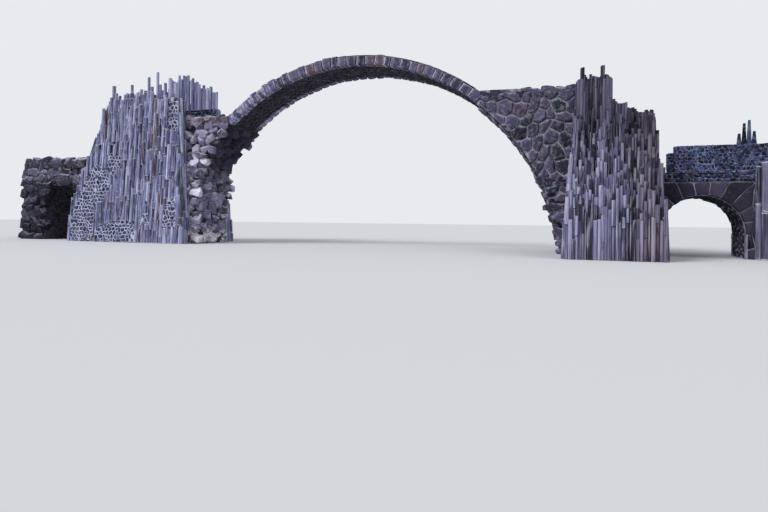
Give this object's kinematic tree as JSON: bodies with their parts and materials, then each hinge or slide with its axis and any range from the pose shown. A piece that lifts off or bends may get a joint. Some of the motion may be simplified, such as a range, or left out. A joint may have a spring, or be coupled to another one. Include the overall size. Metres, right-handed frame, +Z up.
{
  "type": "moon bridge",
  "caption": "Basalt moon bridge: a round arch of wedge-shaped stones between clusters of upright basalt columns, with stairs and arched wings at both ends",
  "frame": {"origin": "On the water line, at the centre of the arch along the bridge and at the middle of its width, which is the bottom centre of the bounding box", "axes": "X along the bridge from the left wing to the right wing as seen from the front, Y across the bridge from front to rear, Z up"},
  "size_m": [35, 7.8296, 8.0047],
  "materials": {
    "basalt_columns": "rough",
    "basalt_rubble": "rough",
    "ring_stone": "rough",
    "boulder": "rough",
    "parapet_rubble": "rough",
    "paving": "worn"
  },
  "bodies": {
    "root": {"arch_paving": "paving", "front_ring_stones": "ring_stone", "left_abutment": "basalt_rubble", "left_boulders": "boulder", "left_front_core": "basalt_rubble", "left_front_end_columns": "basalt_columns", "left_front_face_columns": "basalt_columns", "left_front_pipes": "basalt_columns", "left_paving": "paving", "left_rear_core": "basalt_rubble", "left_rear_end_columns": "basalt_columns", "left_rear_face_columns": "basalt_columns", "left_rear_pipes": "basalt_columns", "left_stair": "paving", "left_wing_arch_stones": "ring_stone", "left_wing_core": "basalt_rubble", "left_wing_front_facing": "basalt_rubble", "left_wing_rear_facing": "basalt_rubble", "rear_ring_stones": "ring_stone", "right_abutment": "basalt_rubble", "right_end_columns": "basalt_columns", "right_front_core": "basalt_rubble", "right_front_crest": "basalt_rubble", "right_front_flank_columns": "basalt_columns", "right_front_high_columns": "basalt_columns", "right_front_low_columns": "basalt_columns", "right_parapets": "parapet_rubble", "right_paving": "paving", "right_rear_core": "basalt_rubble", "right_rear_crest": "basalt_rubble", "right_rear_flank_columns": "basalt_columns", "right_rear_high_columns": "basalt_columns", "right_rear_low_columns": "basalt_columns", "right_spires": "basalt_columns", "right_stair": "paving", "right_wing_arch_stones": "ring_stone", "right_wing_core": "basalt_rubble", "right_wing_front_facing": "basalt_rubble", "right_wing_rear_facing": "basalt_rubble", "vault_crown": "basalt_rubble", "vault_left": "basalt_rubble", "vault_right": "basalt_rubble"}
  },
  "joints": []
}
